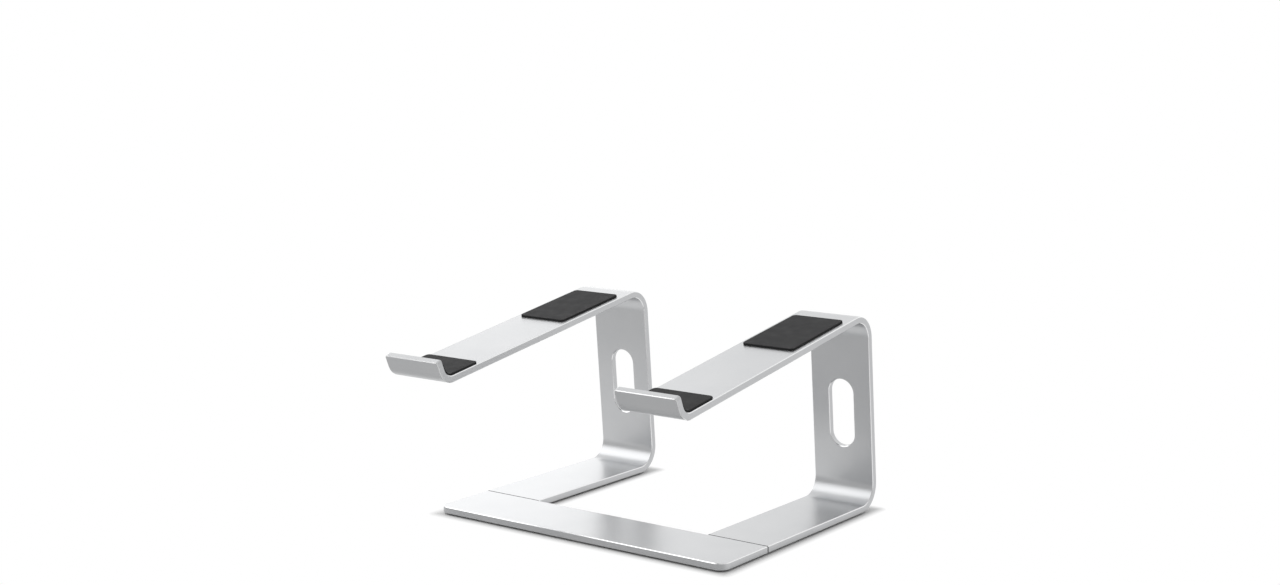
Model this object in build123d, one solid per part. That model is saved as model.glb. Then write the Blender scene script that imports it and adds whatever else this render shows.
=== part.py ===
from build123d import *
import os
from math import cos, radians, sin, tan

# Laptop stand: two legs bent from aluminium strip, screwed to a flat base plate, with rubber pads and feet.
# X runs to the right seen from the front, Y to the back and Z up. The origin lies on the table, under the
# middle of the stand. Lengths are millimetres and angles are degrees.

# Aluminium stock
SHEET = 5.0  # thickness of the base plate and of the strip
EDGE_BEVEL = 0.5  # polished bevel round every outline

# Whole stand
STAND_WIDTH = 253.0  # across the outer sides of the legs
STAND_HEIGHT = 149.0  # table to the top of the rear bends
BASE_REACH = 203.0  # front of the base plate to the back of the rear bends
HOOK_REACH = 54.0  # how far the lips stand out in front of the base plate

# Base plate
PLATE_DEPTH = 54.0  # front edge to the seam
PLATE_CORNER = 8.0  # radius of the two front corners

# Legs
LEG_WIDTH = 50.0
UPRIGHT_LEAN = 5.5  # forward, from vertical
ARM_SLOPE = 9.0  # down towards the front
REAR_BEND = 14.0  # inside radius of the lower and the upper bend
HOOK_BEND = 8.0  # inside radius of the hook
LIP_OPENING = 104.0  # angle between the arm and the lip
LIP_LENGTH = 8.8  # straight part, from the end of the bend to the tip
LIP_CORNER = 2.0  # radius of the two corners of the lip
SLOT_WIDTH = 20.5  # cable slot
SLOT_HEIGHT = 52.0
SLOT_CENTRE = 72.0  # above the table

# Lap joint under the base plate
TONGUE_THICKNESS = 2.5
TONGUE_LENGTH = 24.0
TONGUE_SHOULDER = 6.0  # step from the side of the leg to the side of the tongue
POCKET_CORNER = 4.0  # cutter radius in the corners of the pocket
SIDE_FIT = 0.15  # play round the tongue in its pocket
SEAM_GAP = 0.8  # open line between the base plate and a leg

# Countersunk screws with a hexagon socket
SCREW_DIAMETER = 3.0
SCREW_HEAD = 6.0  # head diameter
SCREW_RIM = 0.2  # straight rim of the head
SCREW_SOCKET = 2.0  # across flats
SCREW_SOCKET_DEPTH = 1.1
SCREW_SPACING = 22.0  # between the two screws of a leg
SCREW_SINK = 0.1  # head below the face of the tongue
SCREW_PLAY = 0.1  # round the screw in its holes
SCREW_TIP_GAP = 0.3  # past the tip of the screw
HOLE_SKIN = 0.7  # metal left above a tapped hole

# Rubber feet
FOOT_STAND = 1.1  # gap under the aluminium
FOOT_RECESS = 0.6  # depth of the seat of a foot
FOOT_WIDTH = 10.0
FOOT_FIT = 0.1  # play round a foot in its seat
FOOT_BEVEL = 0.4  # round the sole
FRONT_FOOT_LENGTH = 58.0
FRONT_FOOT_INSET = 8.0  # plate edge to foot, at the front and at the side
REAR_FOOT_LENGTH = 34.0
REAR_FOOT_INSET = 6.0  # end of the flat to foot

# Rubber pads
PAD_THICKNESS = 1.5
PAD_CORNER = 3.0
PAD_BEVEL = 0.4  # round the face that carries
HOOK_PAD_RUN = 36.0  # along the arm, from the corner of the hook
HOOK_PAD_TIP = 2.5  # below the tip of the lip
HOOK_PAD_MARGIN = 1.0  # side of the leg to the pad
ARM_PAD_LENGTH = 70.0
ARM_PAD_INSET = 12.0  # upper bend to pad
ARM_PAD_MARGIN = 4.0  # side of the leg to the pad

FRONT = (HOOK_REACH - BASE_REACH) / 2  # front edge of the base plate
SEAM = FRONT + PLATE_DEPTH
BACK = FRONT + BASE_REACH
LEG_OFFSET = (STAND_WIDTH - LEG_WIDTH) / 2  # middle of a leg
UNDERSIDE = FOOT_STAND
REAR_MID_BEND = REAR_BEND + SHEET / 2
HOOK_MID_BEND = HOOK_BEND + SHEET / 2
TONGUE_WIDTH = LEG_WIDTH - 2 * TONGUE_SHOULDER
TAPPED_DEPTH = SHEET - TONGUE_THICKNESS - HOLE_SKIN
SCREW_LENGTH = TONGUE_THICKNESS + TAPPED_DEPTH - SCREW_SINK - SCREW_TIP_GAP
SCREW_Y = SEAM + SEAM_GAP - TONGUE_LENGTH / 2
SIDES = {"left": -1, "right": 1}


# Side view of a leg. Points are (Y, Z), and a heading is 0 to the back and 90 upwards.


def heading(angle):
    return Vector(cos(radians(angle)), sin(radians(angle)))


def left_of(direction):
    return Vector(-direction.Y, direction.X)


FLAT = heading(0)
UPRIGHT = heading(90 + UPRIGHT_LEAN)
ARM = heading(180 + ARM_SLOPE)
LIP = heading(ARM_SLOPE + LIP_OPENING)


def in_space(point, x=0.0):
    return Vector(x, point.X, point.Y)


def mitre(before, after):
    # Step from a corner that lies one unit to the left of both runs.
    first, second = left_of(before), left_of(after)
    return (first + second) / (1 + first.dot(second))


def bend_run(before, after, radius):
    # Length that a bend takes from each of the runs that it joins.
    return radius * tan(radians(before.get_angle(after) / 2))


def leg_corners():
    # Corners of the line along the middle of the strip, before it is bent round its radii.
    outside = REAR_BEND + SHEET
    low = Vector(BACK - outside, UNDERSIDE + outside)
    climb = (STAND_HEIGHT - outside - low.Y) / UPRIGHT.Y
    high = low + UPRIGHT * climb
    rear = low - mitre(FLAT, UPRIGHT) * REAR_MID_BEND
    top = high - mitre(UPRIGHT, ARM) * REAR_MID_BEND
    lip = LIP * (bend_run(ARM, LIP, HOOK_MID_BEND) + LIP_LENGTH)
    tip_y = FRONT - HOOK_REACH - left_of(LIP).X * SHEET / 2
    hook = top + ARM * ((tip_y - lip.X - top.X) / ARM.X)
    start = Vector(SEAM + SEAM_GAP, UNDERSIDE + SHEET / 2)
    return start, rear, top, hook, hook + lip


START, REAR, TOP, HOOK, TIP = leg_corners()


def beside(corners, radii, distance):
    # Bent line that keeps a distance to the left of the line through the corners.
    runs = [(end - begin).normalized() for begin, end in zip(corners, corners[1:])]
    points = [corners[0] + left_of(runs[0]) * distance]
    bends = []
    for corner, before, after, radius in zip(corners[1:], runs, runs[1:], radii):
        points.append(corner + mitre(before, after) * distance)
        turn = 1 if before.cross(after).Z > 0 else -1
        bends.append(radius - turn * distance)
    points.append(corners[-1] + left_of(runs[-1]) * distance)
    return FilletPolyline(*points, radius=bends)


def bent_band(corners, radii, right, left, width):
    # Sheet between two distances from the line through the corners, centred on X.
    lower = beside(corners, radii, right)
    upper = beside(corners, radii, left)
    ends = [Line(lower @ 0, upper @ 0), Line(lower @ 1, upper @ 1)]
    return extrude(Plane.YZ * make_face([lower, upper, *ends]), width / 2, both=True)


def end_face(body, point):
    return body.faces().sort_by_distance(in_space(point))[0]


def outline_edges(faces):
    # Edges round a bent surface, without those between its flats and its bends.
    edges = [edge for face in faces for edge in face.edges()]
    return ShapeList(edge for edge in edges if edges.count(edge) == 1)


def broad_faces(body, ends):
    # Both surfaces of a bent sheet, without its narrow sides and its ends.
    across = body.faces().filter_by(lambda face: abs(face.normal_at().X) < 0.1)
    return across.filter_by(lambda face: face not in ends)


def faces_towards(body, point):
    return body.faces().filter_by(lambda face: face.normal_at().dot(point - face.center()) > 0)


def side_edges(face):
    return face.edges().filter_by(Axis.X, reverse=True)


def foot_seat(length, x, y, depth, play=0.0):
    # Obround that reaches up into the aluminium from a level below it.
    shape = SlotOverall(length + 2 * play, FOOT_WIDTH + 2 * play)
    return extrude(Pos(x, y, UNDERSIDE + FOOT_RECESS - depth) * shape, depth)


def rear_foot_y():
    flat_end = REAR.X - bend_run(FLAT, UPRIGHT, REAR_MID_BEND)
    return flat_end - REAR_FOOT_INSET - FOOT_WIDTH / 2


def front_foot_place(side):
    x = STAND_WIDTH / 2 - FRONT_FOOT_INSET - FRONT_FOOT_LENGTH / 2
    return side * x, FRONT + FRONT_FOOT_INSET + FOOT_WIDTH / 2


def screw_places(side):
    return {
        "inner": side * (LEG_OFFSET - SCREW_SPACING / 2),
        "outer": side * (LEG_OFFSET + SCREW_SPACING / 2),
    }


def tongue_blank(x, play, thickness):
    # Tongue, or with some play its pocket, with round corners at its front end.
    width = TONGUE_WIDTH + 2 * play
    back = SEAM + SEAM_GAP
    length = TONGUE_LENGTH + play
    plan = Pos(x, back - length / 2) * Rectangle(width, length)
    corners = plan.vertices().group_by(Axis.Y)[0]
    plan = fillet(corners, POCKET_CORNER - SIDE_FIT + play)
    return extrude(Pos(0, 0, UNDERSIDE) * plan, thickness)


def screw_shape(play):
    # Revolved outline of a screw, or with some play of its hole. The head faces down at height 0.
    shank = SCREW_DIAMETER / 2 + play
    head = SCREW_HEAD / 2 + play
    shoulder = SCREW_RIM + head - shank
    side = [(head, 0), (head, SCREW_RIM), (shank, shoulder), (shank, SCREW_LENGTH)]
    outline = Polyline((0, 0), *side, (0, SCREW_LENGTH), close=True)
    return revolve(Plane.XZ * make_face(outline), Axis.Z)


def screw(x):
    socket = RegularPolygon(SCREW_SOCKET / 2, 6, major_radius=False)
    body = screw_shape(0.0) - extrude(socket, SCREW_SOCKET_DEPTH)
    return Pos(x, SCREW_Y, UNDERSIDE + SCREW_SINK) * body


def screw_hole(x):
    # Countersink and clearance hole in a tongue, and the tapped hole above it.
    head = Cylinder(SCREW_HEAD / 2 + SCREW_PLAY, 2 * SCREW_SINK)
    tip = Pos(0, 0, SCREW_LENGTH) * Cylinder(SCREW_DIAMETER / 2 + SCREW_PLAY, 2 * SCREW_TIP_GAP)
    return Pos(x, SCREW_Y, UNDERSIDE + SCREW_SINK) * (screw_shape(SCREW_PLAY) + head + tip)


def cable_slot():
    # Slot through the upright, with a bevelled mouth on both faces.
    climb = (SLOT_CENTRE - REAR.Y) / UPRIGHT.Y
    middle = in_space(REAR + UPRIGHT * climb)
    through = Plane(middle, x_dir=in_space(UPRIGHT), z_dir=in_space(left_of(UPRIGHT)))
    cutter = extrude(through * SlotOverall(SLOT_HEIGHT, SLOT_WIDTH), SHEET, both=True)
    mouth = SlotOverall(SLOT_HEIGHT + 2 * EDGE_BEVEL, SLOT_WIDTH + 2 * EDGE_BEVEL)
    funnel = extrude(Pos(0, 0, -SHEET / 2) * mouth, EDGE_BEVEL, taper=45)
    return cutter + through * funnel + through * Rot(180, 0, 0) * funnel


def leg():
    corners = [START, REAR, TOP, HOOK, TIP]
    bends = [REAR_MID_BEND, REAR_MID_BEND, HOOK_MID_BEND]
    body = bent_band(corners, bends, -SHEET / 2, SHEET / 2, LEG_WIDTH)
    body = fillet(side_edges(end_face(body, TIP)), LIP_CORNER)
    seam = end_face(body, START)
    outline = outline_edges(broad_faces(body, [seam, end_face(body, TIP)]))
    body = chamfer(outline.filter_by(lambda edge: edge not in seam.edges()), EDGE_BEVEL)
    body -= cable_slot()
    body += tongue_blank(0.0, 0.0, TONGUE_THICKNESS)
    for x in (-SCREW_SPACING / 2, SCREW_SPACING / 2):
        body -= screw_hole(x)
    return body - foot_seat(REAR_FOOT_LENGTH, 0.0, rear_foot_y(), FOOT_RECESS + SHEET, FOOT_FIT)


def base_plate():
    plan = Pos(0, FRONT + PLATE_DEPTH / 2) * Rectangle(STAND_WIDTH, PLATE_DEPTH)
    plan = fillet(plan.vertices().group_by(Axis.Y)[0], PLATE_CORNER)
    body = extrude(Pos(0, 0, UNDERSIDE) * plan, SHEET)
    rims = body.faces().sort_by(Axis.Z)
    outline = rims[0].edges() + rims[-1].edges()
    body = chamfer(outline.filter_by(lambda edge: edge.center().Y < SEAM - EDGE_BEVEL), EDGE_BEVEL)
    # Bevel along the open back edge between the legs, above and below.
    cut = EDGE_BEVEL * 2**0.5
    bar = Rot(45, 0, 0) * Box(STAND_WIDTH - 2 * LEG_WIDTH, cut, cut)
    for z in (UNDERSIDE, UNDERSIDE + SHEET):
        body -= Pos(0, SEAM, z) * bar
    for side in SIDES.values():
        body -= tongue_blank(side * LEG_OFFSET, SIDE_FIT, TONGUE_THICKNESS)
        body -= foot_seat(FRONT_FOOT_LENGTH, *front_foot_place(side), FOOT_RECESS + SHEET, FOOT_FIT)
        for x in screw_places(side).values():
            body -= screw_hole(x)
    return body


def foot(length, x, y):
    body = foot_seat(length, x, y, FOOT_RECESS + FOOT_STAND)
    return chamfer(body.faces().sort_by(Axis.Z)[0].edges(), FOOT_BEVEL)


def hook_pad():
    # Lining that runs from the arm round the hook and up the lip.
    corners = [HOOK - ARM * HOOK_PAD_RUN, HOOK, TIP - LIP * HOOK_PAD_TIP]
    seat = -SHEET / 2
    face = seat - PAD_THICKNESS
    body = bent_band(corners, [HOOK_MID_BEND], face, seat, LEG_WIDTH - 2 * HOOK_PAD_MARGIN)
    for corner, run in ((corners[0], ARM), (corners[-1], LIP)):
        end = end_face(body, corner + left_of(run) * (seat + face) / 2)
        body = fillet(side_edges(end), PAD_CORNER)
    bend_centre = in_space(HOOK - mitre(ARM, LIP) * HOOK_MID_BEND)
    return chamfer(outline_edges(faces_towards(body, bend_centre)), PAD_BEVEL)


def arm_pad():
    run = bend_run(UPRIGHT, ARM, REAR_MID_BEND) + ARM_PAD_INSET + ARM_PAD_LENGTH / 2
    normal = left_of(ARM) * -1
    middle = TOP + ARM * run + normal * (SHEET / 2)
    seat = Plane(in_space(middle), x_dir=(1, 0, 0), z_dir=in_space(normal))
    plan = RectangleRounded(LEG_WIDTH - 2 * ARM_PAD_MARGIN, ARM_PAD_LENGTH, PAD_CORNER)
    body = extrude(plan, PAD_THICKNESS)
    return seat * chamfer(body.faces().sort_by(Axis.Z)[-1].edges(), PAD_BEVEL)


def save(name, shape):
    export_step(shape, f"parts/{name}.step")


os.makedirs("parts", exist_ok=True)
save("base_plate", base_plate())
for name, side in SIDES.items():
    place = Pos(side * LEG_OFFSET, 0, 0)
    save(f"{name}_leg", place * leg())
    save(f"{name}_hook_pad", place * hook_pad())
    save(f"{name}_arm_pad", place * arm_pad())
    save(f"{name}_front_foot", foot(FRONT_FOOT_LENGTH, *front_foot_place(side)))
    save(f"{name}_rear_foot", foot(REAR_FOOT_LENGTH, side * LEG_OFFSET, rear_foot_y()))
    for end, x in screw_places(side).items():
        save(f"{name}_{end}_screw", screw(x))
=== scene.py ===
from math import cos, pi, radians, sin, tan

import bmesh
import bpy
from mathutils import Matrix, Vector


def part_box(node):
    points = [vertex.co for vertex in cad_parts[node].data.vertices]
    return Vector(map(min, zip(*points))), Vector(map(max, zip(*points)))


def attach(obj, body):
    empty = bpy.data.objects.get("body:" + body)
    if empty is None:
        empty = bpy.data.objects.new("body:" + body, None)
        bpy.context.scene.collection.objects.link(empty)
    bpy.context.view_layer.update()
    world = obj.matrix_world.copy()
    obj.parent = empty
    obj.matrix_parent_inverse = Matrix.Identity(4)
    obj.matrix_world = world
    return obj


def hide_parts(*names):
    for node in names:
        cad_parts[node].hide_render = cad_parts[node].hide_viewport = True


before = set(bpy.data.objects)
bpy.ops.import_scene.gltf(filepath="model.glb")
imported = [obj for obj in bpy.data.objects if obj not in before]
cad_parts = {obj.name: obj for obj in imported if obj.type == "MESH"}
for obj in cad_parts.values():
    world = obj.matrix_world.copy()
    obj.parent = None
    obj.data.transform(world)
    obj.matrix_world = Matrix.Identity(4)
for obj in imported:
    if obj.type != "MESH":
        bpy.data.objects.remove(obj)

scene = bpy.context.scene
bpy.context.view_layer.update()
mm = 0.001
sides = {"left": -1, "right": 1}
xAxis, yAxis, zAxis = Vector((1, 0, 0)), Vector((0, 1, 0)), Vector((0, 0, 1))

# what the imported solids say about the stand
plateLow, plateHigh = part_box("base_plate")
legLow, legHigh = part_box("right_leg")
sheet = plateHigh.z - plateLow.z
underside = plateLow.z
topside = underside + sheet
seam = plateHigh.y
legWidth = legHigh.x - legLow.x
legX = (legHigh.x + legLow.x) / 2
innerX = plateHigh.x - legWidth  # the inner side of a leg on the plate's back edge


# materials

noiseSpan = (0.3, 0.7)  # where most values of a noise field lie


def newMaterial(name, metallic=0.0):
    material = bpy.data.materials.new(name)
    material.use_nodes = True
    tree = material.node_tree
    shader = tree.nodes["Principled BSDF"]
    shader.inputs["Metallic"].default_value = metallic
    return material, tree, shader


def addNode(tree, kind, sockets=None, **settings):
    node = tree.nodes.new(kind)
    for key, value in settings.items():
        setattr(node, key, value)
    for name, value in (sockets or {}).items():
        if isinstance(value, bpy.types.NodeSocket):
            tree.links.new(value, node.inputs[name])
        else:
            node.inputs[name].default_value = value
    return node


def mathStep(tree, operation, *values, **settings):
    node = addNode(tree, "ShaderNodeMath", dict(enumerate(values)), operation=operation, **settings)
    return node.outputs[0]


def vectorStep(tree, operation, *values, output=0):
    node = addNode(tree, "ShaderNodeVectorMath", dict(enumerate(values)), operation=operation)
    return node.outputs[output]


def noiseField(tree, perMetre, detail=2.0, rough=0.5):
    place = addNode(tree, "ShaderNodeTexCoord").outputs["Object"]
    sockets = {"Vector": place, "Scale": perMetre, "Detail": detail, "Roughness": rough}
    return addNode(tree, "ShaderNodeTexNoise", sockets).outputs["Fac"]


def blendNumbers(tree, field, low, high):
    start, end = noiseSpan
    sockets = {"Value": field, "From Min": start, "From Max": end, "To Min": low, "To Max": high}
    return addNode(tree, "ShaderNodeMapRange", sockets).outputs["Result"]


def blendColours(tree, field, low, high):
    ramp = addNode(tree, "ShaderNodeValToRGB", {"Fac": field})
    for stop, place, colour in zip(ramp.color_ramp.elements, noiseSpan, (low, high)):
        stop.position = place
        stop.color = (*colour, 1)
    return ramp.outputs["Color"]


def giveFinish(tree, shader, look, tint, grain):
    # one noise varies the colour and one the roughness, between the ends that the look gives
    colour = blendColours(tree, tint, look["dark"], look["light"])
    tree.links.new(colour, shader.inputs["Base Color"])
    roughness = blendNumbers(tree, grain, look["smoothest"], look["roughest"])
    tree.links.new(roughness, shader.inputs["Roughness"])


def giveBump(tree, shader, look, field):
    sockets = {"Height": field, "Strength": look["bumpStrength"], "Distance": look["bumpHeight"]}
    bump = addNode(tree, "ShaderNodeBump", sockets)
    tree.links.new(bump.outputs["Normal"], shader.inputs["Normal"])


satinLook = {
    "dark": (0.522, 0.529, 0.538),
    "light": (0.544, 0.549, 0.557),
    "smoothest": 0.31,
    "roughest": 0.37,
    "cloudsPerMetre": 34,
    "beadsPerMetre": 2600,
    "bumpHeight": 0.012 * mm,
    "bumpStrength": 0.22,
}


def satinAluminium():
    material, tree, shader = newMaterial("beadBlastedAluminium", metallic=1.0)
    clouds = noiseField(tree, satinLook["cloudsPerMetre"], detail=3.0)
    beads = noiseField(tree, satinLook["beadsPerMetre"], detail=3.0, rough=0.6)
    giveFinish(tree, shader, satinLook, clouds, beads)
    giveBump(tree, shader, satinLook, beads)
    return material


polishLook = {
    "dark": (0.76, 0.765, 0.77),
    "light": (0.82, 0.823, 0.827),
    "smoothest": 0.20,
    "roughest": 0.27,
    "strokesPerMetre": 900,
}


def polishedEdge():
    material, tree, shader = newMaterial("polishedBevel", metallic=1.0)
    strokes = noiseField(tree, polishLook["strokesPerMetre"])
    giveFinish(tree, shader, polishLook, strokes, strokes)
    return material


# faces inside the seams, painted near-black as painted shade of the deep, narrow gaps of the joints
seamShadeLook = {
    "dark": (0.05, 0.05, 0.052),
    "light": (0.08, 0.08, 0.083),
    "smoothest": 0.62,
    "roughest": 0.74,
    "marksPerMetre": 1800,
}


def seamShadeMaterial():
    # near-black metal: painted shade inside the seams, not a finish the aluminium has
    material, tree, shader = newMaterial("dullMilledAluminium", metallic=1.0)
    marks = noiseField(tree, seamShadeLook["marksPerMetre"])
    giveFinish(tree, shader, seamShadeLook, marks, marks)
    return material


rubberLook = {
    "dark": (0.010, 0.010, 0.011),
    "light": (0.021, 0.021, 0.022),
    "smoothest": 0.60,
    "roughest": 0.76,
    "gloss": 0.22,
    "dustPerMetre": 120,
    "skinPerMetre": 3200,
    "bumpHeight": 0.02 * mm,
    "bumpStrength": 0.35,
}


def blackRubber():
    material, tree, shader = newMaterial("blackSiliconeRubber")
    dust = noiseField(tree, rubberLook["dustPerMetre"], detail=4.0)
    skin = noiseField(tree, rubberLook["skinPerMetre"], detail=3.0, rough=0.6)
    giveFinish(tree, shader, rubberLook, dust, dust)
    giveBump(tree, shader, rubberLook, skin)
    shader.inputs["Specular IOR Level"].default_value = rubberLook["gloss"]
    return material


steelLook = {
    "dark": (0.42, 0.43, 0.45),
    "light": (0.56, 0.57, 0.58),
    "smoothest": 0.22,
    "roughest": 0.38,
    "crystalsPerMetre": 1500,
}


def zincSteel():
    material, tree, shader = newMaterial("zincPlatedSteel", metallic=1.0)
    crystals = noiseField(tree, steelLook["crystalsPerMetre"], detail=3.0)
    giveFinish(tree, shader, steelLook, crystals, crystals)
    return material


satin, polish, seamShade = satinAluminium(), polishedEdge(), seamShadeMaterial()
rubber, steel = blackRubber(), zincSteel()
metalPair = [satin, polish]
print("materials made")


# meshes from rings of points

weldReach = 1e-7  # points nearer than this are one


def addObject(name, mesh):
    piece = bpy.data.objects.new(name, mesh)
    scene.collection.objects.link(piece)
    return piece


def loft(name, rings, materials, bandPaint=None, edgePaint=None):
    # closed skin over rings with the same number of points, painted by band or by edge
    form = bmesh.new()
    rows = [[form.verts.new(point) for point in ring] for ring in rings]
    count = len(rings[0])
    for band, (first, second) in enumerate(zip(rows, rows[1:])):
        for edge in range(count):
            other = (edge + 1) % count
            face = form.faces.new((first[edge], first[other], second[other], second[edge]))
            if bandPaint:
                face.material_index = bandPaint[band]
            elif edgePaint:
                face.material_index = edgePaint[edge]
    form.faces.new(rows[0])
    form.faces.new(rows[-1])
    bmesh.ops.remove_doubles(form, verts=form.verts, dist=weldReach)
    bmesh.ops.recalc_face_normals(form, faces=form.faces)
    mesh = bpy.data.meshes.new(name)
    form.to_mesh(mesh)
    form.free()
    for material in materials:
        mesh.materials.append(material)
    return addObject(name, mesh)


def flatRings(outlines, place=Matrix()):
    # outlines are (points, height) pairs
    return [[place @ Vector((a, b, height)) for a, b in points] for points, height in outlines]


def arcPoints(centre, radius, start, end, steps):
    turns = [start + (end - start) * step / steps for step in range(steps + 1)]
    return [(centre[0] + radius * cos(turn), centre[1] + radius * sin(turn)) for turn in turns]


def circle(radius, steps=40):
    return arcPoints((0, 0), radius, 0, 2 * pi * (steps - 1) / steps, steps - 1)


def roundedRectangle(width, length, corner, inset=0.0, steps=10):
    points = []
    for turn, (right, up) in enumerate(((1, 1), (-1, 1), (-1, -1), (1, -1))):
        centre = (right * (width / 2 - corner), up * (length / 2 - corner))
        points += arcPoints(centre, corner - inset, turn * pi / 2, (turn + 1) * pi / 2, steps)
    return points


def obround(length, width, inset=0.0, steps=24):
    reach = (length - width) / 2
    right = arcPoints((reach, 0), width / 2 - inset, -pi / 2, pi / 2, steps)
    return right + arcPoints((-reach, 0), width / 2 - inset, pi / 2, 3 * pi / 2, steps)


def softRim(radius, steps=4):
    # (inset, height) pairs of a rounded rim, from its face to its side
    turns = [pi / 2 * step / steps for step in range(steps + 1)]
    return [(radius * (1 - sin(turn)), radius * (1 - cos(turn))) for turn in turns]


def cornerStations(centre, outward, along, radius, steps):
    # (point, direction) pairs round a corner, from the side of a strip to its end
    turns = [pi / 2 * step / steps for step in range(steps + 1)]
    directions = [outward * cos(turn) + along * sin(turn) for turn in turns]
    return [(centre + direction * radius, direction) for direction in directions]


# Geometry Nodes

def newTree(name, inputs):
    tree = bpy.data.node_groups.new(name, "GeometryNodeTree")
    tree.interface.new_socket("Geometry", in_out="INPUT", socket_type="NodeSocketGeometry")
    for label, kind in inputs.items():
        tree.interface.new_socket(label, in_out="INPUT", socket_type="NodeSocket" + kind)
    tree.interface.new_socket("Geometry", in_out="OUTPUT", socket_type="NodeSocketGeometry")
    return tree, tree.nodes.new("NodeGroupInput").outputs


def addModifierTree(piece, tree, values):
    modifier = piece.modifiers.new(tree.name, "NODES")
    modifier.node_group = tree
    for item in tree.interface.items_tree:
        if item.in_out == "INPUT" and item.name in values:
            modifier[item.identifier] = values[item.name]


def bentStripTree():
    # a strip that follows a line of corners, each rounded by its own bend
    sizes = {"Width": "Float", "Thickness": "Float", "Rim": "Float", "Rim Steps": "Int", "Bend Steps": "Int"}
    tree, given = newTree("bentStrip", {**sizes, "Body": "Material", "Rims": "Material"})
    line = addNode(tree, "GeometryNodeMeshToCurve", {"Mesh": given["Geometry"]})
    bend = addNode(tree, "GeometryNodeInputNamedAttribute", {"Name": "bend"}, data_type="FLOAT")
    sockets = {"Curve": line.outputs[0], "Count": given["Bend Steps"], "Radius": bend.outputs["Attribute"]}
    path = addNode(tree, "GeometryNodeFilletCurve", sockets, mode="POLY")
    sockets = {"Curve": path.outputs[0], "Normal": xAxis}
    path = addNode(tree, "GeometryNodeSetCurveNormal", sockets, mode="FREE")
    sockets = {"Width": given["Width"], "Height": given["Thickness"]}
    section = addNode(tree, "GeometryNodeCurvePrimitiveQuadrilateral", sockets)
    sockets = {"Curve": section.outputs[0], "Count": given["Rim Steps"], "Radius": given["Rim"]}
    section = addNode(tree, "GeometryNodeFilletCurve", sockets, mode="POLY")
    sockets = {"Curve": path.outputs[0], "Profile Curve": section.outputs[0], "Fill Caps": True}
    strip = addNode(tree, "GeometryNodeCurveToMesh", sockets)
    # the rims are the faces that lean between the broad faces and the sides
    halfway, spread = 0.5, 0.4
    normal = addNode(tree, "GeometryNodeInputNormal").outputs[0]
    across = addNode(tree, "ShaderNodeSeparateXYZ", {0: normal}).outputs["X"]
    onRim = mathStep(tree, "COMPARE", mathStep(tree, "ABSOLUTE", across), halfway, spread)
    solid = addNode(tree, "GeometryNodeRealizeInstances", {"Geometry": strip.outputs[0]})
    sockets = {"Geometry": solid.outputs[0], "Material": given["Body"]}
    whole = addNode(tree, "GeometryNodeSetMaterial", sockets)
    sockets = {"Geometry": whole.outputs[0], "Selection": onRim, "Material": given["Rims"]}
    edged = addNode(tree, "GeometryNodeSetMaterial", sockets)
    addNode(tree, "NodeGroupOutput", {"Geometry": edged.outputs[0]})
    return tree


bentStrip = bentStripTree()


# from a rough form to a finished piece

crispAngles = {"metal": radians(26), "rubber": radians(40), "screw": radians(30)}


def bakeMesh(piece):
    # turns the modifiers into a plain mesh
    depsgraph = bpy.context.evaluated_depsgraph_get()
    solid = piece.evaluated_get(depsgraph)
    mesh = bpy.data.meshes.new_from_object(solid, preserve_all_data_layers=True, depsgraph=depsgraph)
    piece.modifiers.clear()
    piece.data = mesh
    mesh.name = piece.name
    return mesh


def settle(piece, crispAngle):
    # plain mesh, smooth on its curves and crisp at every edge that turns by more than the angle
    mesh = bakeMesh(piece)
    mesh.shade_smooth()
    mesh.set_sharp_from_angle(angle=crispAngle)
    weighted = piece.modifiers.new("weighted", "WEIGHTED_NORMAL")
    weighted.keep_sharp = True
    weighted.weight = 100  # large faces lead
    bakeMesh(piece)


def cutAndSettle(piece, cutters, crispAngle):
    box = bpy.data.collections.new(piece.name + "Cutters")
    for cutter in cutters:
        scene.collection.objects.unlink(cutter)
        box.objects.link(cutter)
    modifier = piece.modifiers.new("cut", "BOOLEAN")
    modifier.operand_type = "COLLECTION"
    modifier.collection = box
    modifier.solver = "EXACT"
    modifier.material_mode = "TRANSFER"
    settle(piece, crispAngle)
    for cutter in cutters:
        bpy.data.objects.remove(cutter)
    bpy.data.collections.remove(box)


def handIn(piece, slot, *nodes):
    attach(piece, "root")
    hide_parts(*nodes)


# side view of a leg: points are (y, z), a heading is 0 to the back and 90 degrees upwards

legLook = {
    "lean": radians(5.5),
    "slope": radians(9),
    "bend": 14 * mm,
    "hookBend": 8 * mm,
    "lipOpening": radians(104),
    "lipLength": 8.8 * mm,
    "lipCorner": 2 * mm,
    "hookReach": 54 * mm,
    "seamGap": 0.8 * mm,
    "seamBreak": 0.3 * mm,
    "bevel": 0.5 * mm,
    "slotWidth": 20.5 * mm,
    "slotHeight": 52 * mm,
    "slotCentre": 72 * mm,
    "slotSteps": 32,
    "bendSteps": 48,
}
jointLook = {
    "length": 24 * mm,
    "thickness": 2.5 * mm,
    "shoulder": 6 * mm,
    "corner": 4 * mm,
    "cornerSteps": 8,
    "play": 0.15 * mm,
}
spare = 1 * mm  # how far a cutter reaches past what it cuts


def heading(angle):
    return Vector((cos(angle), sin(angle)))


def leftOf(run):
    return Vector((-run.y, run.x))


def inSpace(point, x=0.0):
    return Vector((x, point.x, point.y))


def mitre(before, after):
    first, second = leftOf(before), leftOf(after)
    return (first + second) / (1 + first.dot(second))


def bendRun(before, after, radius):
    return radius * tan(before.angle(after) / 2)


flatRun = heading(0)
uprightRun = heading(pi / 2 + legLook["lean"])
armRun = heading(pi + legLook["slope"])
lipRun = heading(legLook["slope"] + legLook["lipOpening"])
rearMid = legLook["bend"] + sheet / 2
hookMid = legLook["hookBend"] + sheet / 2


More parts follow.
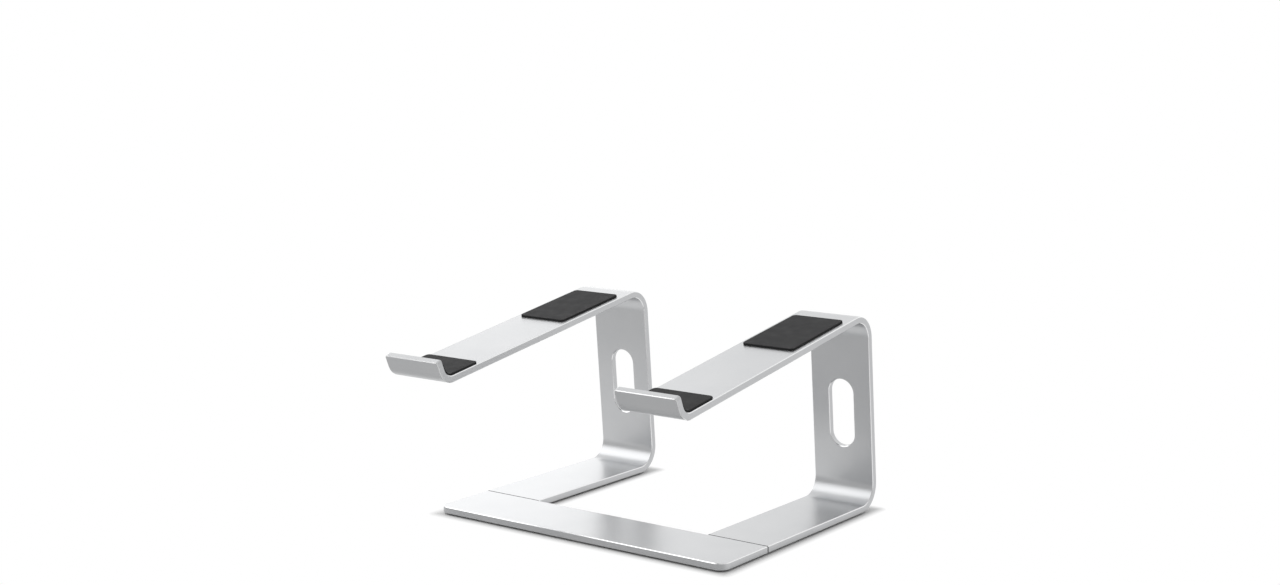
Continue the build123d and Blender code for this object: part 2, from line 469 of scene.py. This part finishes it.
def legCorners():
    outside = legLook["bend"] + sheet
    low = Vector((legHigh.y - outside, underside + outside))
    high = low + uprightRun * ((legHigh.z - outside - low.y) / uprightRun.y)
    rear = low - mitre(flatRun, uprightRun) * rearMid
    top = high - mitre(uprightRun, armRun) * rearMid
    lip = lipRun * (bendRun(armRun, lipRun, hookMid) + legLook["lipLength"])
    tipY = plateLow.y - legLook["hookReach"] - leftOf(lipRun).x * sheet / 2
    hook = top + armRun * ((tipY - lip.x - top.x) / armRun.x)
    start = Vector((seam + legLook["seamGap"], underside + sheet / 2))
    return start, rear, top, hook, hook + lip


startAt, rearAt, topAt, hookAt, tipAt = legCorners()
tongueFront = startAt.x - jointLook["length"]
tongueWidth = legWidth - 2 * jointLook["shoulder"]
tongueTop = underside + jointLook["thickness"]


def cornerLine(name, corners, bends):
    mesh = bpy.data.meshes.new(name)
    mesh.from_pydata(corners, [(i, i + 1) for i in range(len(corners) - 1)], [])
    mesh.attributes.new("bend", "FLOAT", "POINT").data.foreach_set("value", bends)
    return addObject(name, mesh)


endCut = {"clear": 0.02 * mm, "reach": 5 * mm, "steps": 10}


def endCutter(name, end, along, up, width, thickness, corner, bevel, materials):
    # takes the end of a strip down to round corners and a bevel on both faces
    stations = []
    for side in (-1, 1):
        outward = xAxis * side
        centre = end + outward * (width / 2 - corner) - along * corner
        run = cornerStations(centre, outward, along, corner, endCut["steps"])
        run[0] = (run[0][0] + outward * endCut["clear"], outward)
        stations += run if side < 0 else run[::-1]
    high, flare, reach = thickness / 2 + spare, bevel + spare, endCut["reach"]
    flank = thickness / 2 - bevel
    section = [(-flare, high), (reach, high), (reach, -high), (-flare, -high), (0, -flank), (0, flank)]
    rings = [[point + normal * out + up * rise for out, rise in section] for point, normal in stations]
    return loft(name, rings, materials, edgePaint=[0, 0, 0, 1, 0, 1])


def slotCutter(x):
    middle = rearAt + uprightRun * ((legLook["slotCentre"] - rearAt.y) / uprightRun.y)
    up, through = inSpace(uprightRun), inSpace(leftOf(uprightRun))
    half, bevel = sheet / 2, legLook["bevel"]
    deep, flare = half + spare, bevel + spare
    rings = []
    for depth, grow in ((-deep, flare), (bevel - half, 0), (half - bevel, 0), (deep, flare)):
        outline = obround(legLook["slotHeight"], legLook["slotWidth"], -grow, legLook["slotSteps"])
        rings.append([inSpace(middle, x) + up * a + xAxis * b + through * depth for a, b in outline])
    return loft("slotCutter", rings, metalPair, bandPaint=[1, 0, 1])


def tongueCutters(x):
    # what is taken off the front end of the strip to leave the tongue of the lap joint
    corner = jointLook["corner"] - jointLook["play"]
    low, high = -spare, topside + spare
    stations = []
    for side in (-1, 1):
        outward = xAxis * side
        centre = Vector((x + side * (tongueWidth / 2 - corner), tongueFront + corner, 0))
        run = [(Vector((x + side * tongueWidth / 2, startAt.x, 0)), outward)]
        run += cornerStations(centre, outward, -yAxis, corner, jointLook["cornerSteps"])
        stations += run if side < 0 else run[::-1]
    reach = jointLook["shoulder"] + spare
    section = [(0, low), (reach, low), (reach, high), (0, high)]
    rings = [[point + normal * out + zAxis * z for out, z in section] for point, normal in stations]
    # the faces these cuts leave inside the joint take the near-black seam material: painted shade
    sideCut = loft("shoulderCutter", rings, [seamShade])
    left, right, front = x - legWidth, x + legWidth, tongueFront - legWidth
    block = [(left, front), (right, front), (right, startAt.x), (left, startAt.x)]
    topCut = loft("overlapCutter", flatRings([(block, tongueTop), (block, high)]), [seamShade])
    return [sideCut, topCut]


def seamCutters(x):
    # breaks the edges of the strip where it meets the plate, which makes the seam a shallow groove; its
    # faces are painted near-black as painted shade
    corner = Vector((x, startAt.x, topside))
    half, tall = xAxis * (legWidth / 2), zAxis * sheet
    edges = [(corner - half - xAxis * spare, corner + half + xAxis * spare, zAxis)]
    for side in (-1, 1):
        high = corner + half * side
        edges.append((high - tall - zAxis * spare, high + zAxis * spare, xAxis * side))
    deep = legLook["seamBreak"] + spare
    cutters = []
    for first, last, outward in edges:
        outer = outward * spare - yAxis * spare
        section = [outer, outward * spare + yAxis * deep, -outward * deep - yAxis * spare]
        rings = [[end + point for point in section] for end in (first, last)]
        cutters.append(loft("seamCutter", rings, [seamShade]))
    return cutters


screwLook = {
    "shank": 1.5 * mm,
    "head": 3.0 * mm,
    "rim": 0.2 * mm,
    "soften": 0.12 * mm,
    "point": 0.3 * mm,
    "socket": 1.0 * mm,
    "socketDepth": 1.1 * mm,
    "socketSides": 6,
    "spacing": 22 * mm,
    "sink": 0.1 * mm,
    "play": 0.1 * mm,
    "length": 3.9 * mm,
    "tipGap": 0.3 * mm,
}
screwY = startAt.x - jointLook["length"] / 2
screwSpots = [side * legX + end * screwLook["spacing"] / 2 for side in sides.values() for end in (-1, 1)]


def screwCutter(x):
    play = screwLook["play"]
    head, shank = screwLook["head"] + play, screwLook["shank"] + play
    sink = underside + screwLook["sink"]
    shoulder = sink + screwLook["rim"] + head - shank
    tip = sink + screwLook["length"] + screwLook["tipGap"]
    heights = [(head, -spare), (head, sink + screwLook["rim"]), (shank, shoulder), (shank, tip)]
    outlines = [(circle(radius), z) for radius, z in heights]
    return loft("screwCutter", flatRings(outlines, Matrix.Translation((x, screwY, 0))), metalPair)


footLook = {"recess": 0.6 * mm, "play": 0.1 * mm, "rim": 0.45 * mm}


def footPlace(node):
    low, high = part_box(node)
    middle = (low + high) / 2
    return Matrix.Translation((middle.x, middle.y, 0)), high.x - low.x, high.y - low.y


def seatCutter(node):
    place, length, width = footPlace(node)
    play = footLook["play"]
    outline = obround(length + 2 * play, width + 2 * play)
    levels = [(outline, -spare), (outline, underside + footLook["recess"])]
    return loft("seatCutter", flatRings(levels, place), metalPair)


def makeLeg(name, side):
    x, bevel = side * legX, legLook["bevel"]
    first = startAt - flatRun * jointLook["length"]
    beyond = tipAt + lipRun * spare
    corners = [inSpace(point, x) for point in (first, rearAt, topAt, hookAt, beyond)]
    leg = cornerLine(name + "_leg_strip", corners, [0, rearMid, rearMid, hookMid, 0])
    sizes = {"Width": legWidth, "Thickness": sheet, "Rim": bevel, "Rim Steps": 1}
    sizes["Bend Steps"] = legLook["bendSteps"]
    addModifierTree(leg, bentStrip, {**sizes, "Body": satin, "Rims": polish})
    tip, along, up = inSpace(tipAt, x), inSpace(lipRun), inSpace(leftOf(lipRun))
    lipCut = endCutter("lipCutter", tip, along, up, legWidth, sheet, legLook["lipCorner"], bevel, metalPair)
    cutters = [lipCut, slotCutter(x), seatCutter(name + "_rear_foot"), *tongueCutters(x), *seamCutters(x)]
    cutters += [screwCutter(spot) for spot in screwSpots if abs(spot - x) < legWidth / 2]
    cutAndSettle(leg, cutters, crispAngles["metal"])
    handIn(leg, "anodised_aluminium", name + "_leg")


for name, side in sides.items():
    makeLeg(name, side)
print("legs bent and cut")


plateLook = {"corner": 8 * mm, "cornerSteps": 24, "bevel": 0.5 * mm, "bevelEnd": 0.01 * mm}


def plateOutline(inset):
    # front corners are round; the bevel stops where the legs butt against the back edge
    corner, steps = plateLook["corner"], plateLook["cornerSteps"]
    left, right, front, back = plateLow.x, plateHigh.x, plateLow.y, plateHigh.y
    bevelX = innerX - plateLook["bevelEnd"]
    points = arcPoints((left + corner, front + corner), corner - inset, pi, 3 * pi / 2, steps)
    points += arcPoints((right - corner, front + corner), corner - inset, 3 * pi / 2, 2 * pi, steps)
    points += [(right - inset, back), (innerX, back), (bevelX, back - inset)]
    points += [(-bevelX, back - inset), (-innerX, back), (left + inset, back)]
    return points


def pocketCutter(x):
    play, corner, steps = jointLook["play"], jointLook["corner"], jointLook["cornerSteps"]
    left, right = x - tongueWidth / 2 - play, x + tongueWidth / 2 + play
    front, back = tongueFront - play, seam + spare
    outline = arcPoints((left + corner, front + corner), corner, pi, 3 * pi / 2, steps)
    outline += arcPoints((right - corner, front + corner), corner, 3 * pi / 2, 2 * pi, steps)
    outline += [(right, back), (left, back)]
    return loft("pocketCutter", flatRings([(outline, -spare), (outline, tongueTop)]), metalPair)


def paintSeamShade(plate):
    # the back edge is painted near-black where the legs butt against it, as painted shade of the seam
    mesh = plate.data
    mesh.materials.append(seamShade)
    slot = len(mesh.materials) - 1
    squareOn = 0.9
    for face in mesh.polygons:
        atSeam = face.center.y > seam - spare and abs(face.center.x) > innerX
        if atSeam and face.normal.y > squareOn:
            face.material_index = slot


def makePlate():
    bevel = plateLook["bevel"]
    low, high = plateLow.z, plateHigh.z
    levels = [(bevel, low), (0, low + bevel), (0, high - bevel), (bevel, high)]
    rings = flatRings([(plateOutline(inset), z) for inset, z in levels])
    plate = loft("base_plate_sheet", rings, metalPair, bandPaint=[1, 0, 1])
    cutters = [pocketCutter(side * legX) for side in sides.values()]
    cutters += [seatCutter(name + "_front_foot") for name in sides]
    cutters += [screwCutter(spot) for spot in screwSpots]
    cutAndSettle(plate, cutters, crispAngles["metal"])
    paintSeamShade(plate)
    handIn(plate, "anodised_aluminium", "base_plate")


makePlate()
print("base plate made")


padLook = {
    "thickness": 1.5 * mm,
    "corner": 3 * mm,
    "rim": 0.4 * mm,
    "rimSteps": 5,
    "bendSteps": 32,
    "hookRun": 36 * mm,
    "tipGap": 2.5 * mm,
    "armLength": 70 * mm,
    "armInset": 12 * mm,
}


def widthOf(node):
    low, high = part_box(node)
    return high.x - low.x


def makeHookPad(name, side):
    x, width = side * legX, widthOf(name + "_hook_pad")
    thickness, rim = padLook["thickness"], padLook["rim"]
    seat = -(sheet + thickness) / 2  # middle of the pad beside the middle of the strip
    first = hookAt - armRun * padLook["hookRun"] + leftOf(armRun) * seat
    corner = hookAt + mitre(armRun, lipRun) * seat
    last = tipAt - lipRun * padLook["tipGap"] + leftOf(lipRun) * seat
    corners = [inSpace(point, x) for point in (first - armRun * spare, corner, last + lipRun * spare)]
    pad = cornerLine(name + "_hook_lining", corners, [0, hookMid + seat, 0])
    sizes = {"Width": width, "Thickness": thickness, "Rim": rim, "Rim Steps": padLook["rimSteps"]}
    sizes["Bend Steps"] = padLook["bendSteps"]
    addModifierTree(pad, bentStrip, {**sizes, "Body": rubber, "Rims": rubber})
    cutters = []
    for end, run in ((first, -armRun), (last, lipRun)):
        place, along, up = inSpace(end, x), inSpace(run), inSpace(leftOf(run))
        cutters.append(endCutter("padEndCutter", place, along, up, width, thickness, padLook["corner"], rim,
                                 [rubber, rubber]))
    cutAndSettle(pad, cutters, crispAngles["rubber"])
    handIn(pad, "black_rubber", name + "_hook_pad")


def makeArmPad(name, side):
    run = bendRun(uprightRun, armRun, rearMid) + padLook["armInset"] + padLook["armLength"] / 2
    normal = -leftOf(armRun)
    middle = inSpace(topAt + armRun * run + normal * (sheet / 2), side * legX)
    place = Matrix.Translation(middle) @ Matrix.Rotation(legLook["slope"], 4, "X")
    corner, top = padLook["corner"], padLook["thickness"]
    levels = [(0, 0)] + [(inset, top - drop) for inset, drop in reversed(softRim(padLook["rim"]))]
    width, length = widthOf(name + "_arm_pad"), padLook["armLength"]
    outlines = [(roundedRectangle(width, length, corner, inset), z) for inset, z in levels]
    pad = loft(name + "_arm_rubber", flatRings(outlines, place), [rubber])
    settle(pad, crispAngles["rubber"])
    handIn(pad, "black_rubber", name + "_arm_pad")


def makeFoot(node):
    place, length, width = footPlace(node)
    levels = softRim(footLook["rim"]) + [(0, underside + footLook["recess"])]
    outlines = [(obround(length, width, inset), z) for inset, z in levels]
    foot = loft(node + "_rubber", flatRings(outlines, place), [rubber])
    settle(foot, crispAngles["rubber"])
    handIn(foot, "black_rubber", node)


for name, side in sides.items():
    makeHookPad(name, side)
    makeArmPad(name, side)
    makeFoot(name + "_front_foot")
    makeFoot(name + "_rear_foot")
print("rubber pads and feet made")


def screwTree(blank):
    # the same screw at every point
    tree, given = newTree("screwRow", {"Finish": "Material"})
    screw = addNode(tree, "GeometryNodeObjectInfo", {"Object": blank})
    sockets = {"Points": given["Geometry"], "Instance": screw.outputs["Geometry"]}
    row = addNode(tree, "GeometryNodeInstanceOnPoints", sockets)
    solid = addNode(tree, "GeometryNodeRealizeInstances", {"Geometry": row.outputs[0]})
    sockets = {"Geometry": solid.outputs[0], "Material": given["Finish"]}
    done = addNode(tree, "GeometryNodeSetMaterial", sockets)
    addNode(tree, "NodeGroupOutput", {"Geometry": done.outputs[0]})
    return tree


def screwBlank():
    head, shank, rim = screwLook["head"], screwLook["shank"], screwLook["rim"]
    soften, point = screwLook["soften"], screwLook["point"]
    shoulder, tip = rim + head - shank, screwLook["length"]
    heights = [(head - soften, 0), (head, soften), (head, rim), (shank, shoulder)]
    heights += [(shank, tip - point), (shank - point, tip)]
    blank = loft("screwBlank", flatRings([(circle(radius), z) for radius, z in heights]), [steel])
    count = screwLook["socketSides"]
    socket = circle(screwLook["socket"] / cos(pi / count), count)
    levels = [(socket, -spare), (socket, screwLook["socketDepth"])]
    cutAndSettle(blank, [loft("socketCutter", flatRings(levels), [steel])], crispAngles["screw"])
    return blank


def makeScrews():
    blank = screwBlank()
    mesh = bpy.data.meshes.new("screws")
    mesh.from_pydata([(x, screwY, underside + screwLook["sink"]) for x in screwSpots], [], [])
    screws = addObject("countersunk_screws", mesh)
    addModifierTree(screws, screwTree(blank), {"Finish": steel})
    settle(screws, crispAngles["screw"])
    bpy.data.objects.remove(blank)
    nodes = [f"{name}_{end}_screw" for name in sides for end in ("inner", "outer")]
    handIn(screws, "steel", *nodes)


makeScrews()
print("screws made")


# floor, light and camera

floorLook = {
    "size": 160.0,
    "colour": (0.68, 0.68, 0.68, 1),
    "rough": 0.9,
    "gloss": 0.1,
    "shadowReach": 8 * mm,
    "frontFade": 12 * mm,
    "below": 0.02 * mm,
}


def boxDistance(tree, place, low, high):
    # how far a point of the floor lies outside a rectangle
    middle, half = (low + high) / 2, (high - low) / 2 + zAxis
    offset = vectorStep(tree, "ABSOLUTE", vectorStep(tree, "SUBTRACT", place, middle))
    outside = vectorStep(tree, "MAXIMUM", vectorStep(tree, "SUBTRACT", offset, half), (0, 0, 0))
    return vectorStep(tree, "LENGTH", outside, output="Value")


def floorWhiteness(tree):
    # the base casts its shadow on the floor beside it, and the floor turns white away from it
    place = addNode(tree, "ShaderNodeTexCoord").outputs["Object"]
    away = boxDistance(tree, place, plateLow, plateHigh)
    for name in sides:
        low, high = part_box(name + "_leg")
        reach = boxDistance(tree, place, Vector((low.x, seam, low.z)), high)
        away = mathStep(tree, "MINIMUM", away, reach)
    sockets = {"Value": away, "From Min": 0.0, "From Max": floorLook["shadowReach"]}
    return addNode(tree, "ShaderNodeMapRange", sockets).outputs["Result"]


def litFromBehind(tree):
    # the metal mirrors the white floor from the plate's front edge backwards,
    # and the plain floor in front of it
    place = addNode(tree, "ShaderNodeTexCoord").outputs["Object"]
    depth = addNode(tree, "ShaderNodeSeparateXYZ", {0: place}).outputs["Y"]
    front, fade = plateLow.y, floorLook["frontFade"]
    sockets = {"Value": depth, "From Min": front - fade, "From Max": front + fade}
    return addNode(tree, "ShaderNodeMapRange", sockets).outputs["Result"]


def makeFloor():
    half, level = floorLook["size"] / 2, -floorLook["below"]
    mesh = bpy.data.meshes.new("floor")
    corners = [(-half, -half, level), (half, -half, level), (half, half, level), (-half, half, level)]
    mesh.from_pydata(corners, [], [(0, 1, 2, 3)])
    floor = addObject("floor", mesh)
    material, tree, shader = newMaterial("paleFloor")
    shader.inputs["Base Color"].default_value = floorLook["colour"]
    shader.inputs["Roughness"].default_value = floorLook["rough"]
    shader.inputs["Specular IOR Level"].default_value = floorLook["gloss"]
    ray = addNode(tree, "ShaderNodeLightPath").outputs
    mirrored = mathStep(tree, "ADD", ray["Is Glossy Ray"], ray["Is Transmission Ray"])
    seen = mathStep(tree, "MULTIPLY_ADD", mirrored, litFromBehind(tree), ray["Is Camera Ray"])
    share = mathStep(tree, "MULTIPLY", floorWhiteness(tree), seen, use_clamp=True)
    white = addNode(tree, "ShaderNodeEmission")
    mixed = addNode(tree, "ShaderNodeMixShader", {0: share, 1: shader.outputs[0], 2: white.outputs[0]})
    tree.links.new(mixed.outputs[0], tree.nodes["Material Output"].inputs["Surface"])
    mesh.materials.append(material)


panelLooks = {
    "keyPanel": {"place": (-1.27, -0.78, 1.5), "aim": (0, 0, 0.05), "size": (2.2, 1.5), "power": 13.2},
    "sidePanel": {"place": (-1.85, 1.3, 0.55), "aim": (0, 0, 0.1), "size": (1.5, 1.1), "power": 3.4},
}


def makePanel(name, look):
    lamp = bpy.data.lights.new(name, "AREA")
    lamp.shape = "RECTANGLE"
    lamp.size, lamp.size_y = look["size"]
    lamp.energy = look["power"]
    place, aim = Vector(look["place"]), Vector(look["aim"])
    panel = bpy.data.objects.new(name, lamp)
    panel.location = place
    panel.rotation_euler = (aim - place).to_track_quat("-Z", "Y").to_euler()
    scene.collection.objects.link(panel)


skyLook = {
    "towards": (-0.48, 0.84, 0.25),
    "turnedAway": -0.6,
    "facing": 1.0,
    "dim": 0.55,
    "bright": 1.17,
    "skyline": 0.01,
    "horizon": 0.10,
}


def makeWorld():
    # soft studio walls, white at the horizon and brighter behind the stand on the left
    world = bpy.data.worlds.new("studio")
    scene.world = world
    world.use_nodes = True
    tree = world.node_tree
    view = addNode(tree, "ShaderNodeTexCoord").outputs["Generated"]
    facing = vectorStep(tree, "DOT_PRODUCT", view, skyLook["towards"], output="Value")
    sockets = {"Value": facing, "From Min": skyLook["turnedAway"], "From Max": skyLook["facing"],
               "To Min": skyLook["dim"], "To Max": skyLook["bright"]}
    level = addNode(tree, "ShaderNodeMapRange", sockets, interpolation_type="SMOOTHSTEP")
    height = addNode(tree, "ShaderNodeSeparateXYZ", {0: view}).outputs["Z"]
    sockets = {"Value": height, "From Min": skyLook["skyline"], "From Max": skyLook["horizon"],
               "To Min": 1.0, "To Max": level.outputs["Result"]}
    wall = addNode(tree, "ShaderNodeMapRange", sockets)
    background = tree.nodes["Background"]
    background.inputs["Color"].default_value = (1, 1, 1, 1)
    tree.links.new(wall.outputs["Result"], background.inputs["Strength"])


shot = {
    "place": Vector((803.8, -1081.5, 373.3)) * mm,
    "azimuth": radians(36.523),
    "drop": radians(8.683),
    "lens": 53.43,
    "sensor": 36.0,
}


def makeCamera():
    data = bpy.data.cameras.new("camera")
    data.sensor_width = shot["sensor"]
    data.lens = shot["lens"]
    camera = bpy.data.objects.new("camera", data)
    camera.location = shot["place"]
    camera.rotation_euler = (pi / 2 - shot["drop"], 0, shot["azimuth"])
    scene.collection.objects.link(camera)
    scene.camera = camera


makeFloor()
makeWorld()
for name, look in panelLooks.items():
    makePanel(name, look)
makeCamera()
scene.view_settings.view_transform = "Standard"
print("floor, light and camera set")
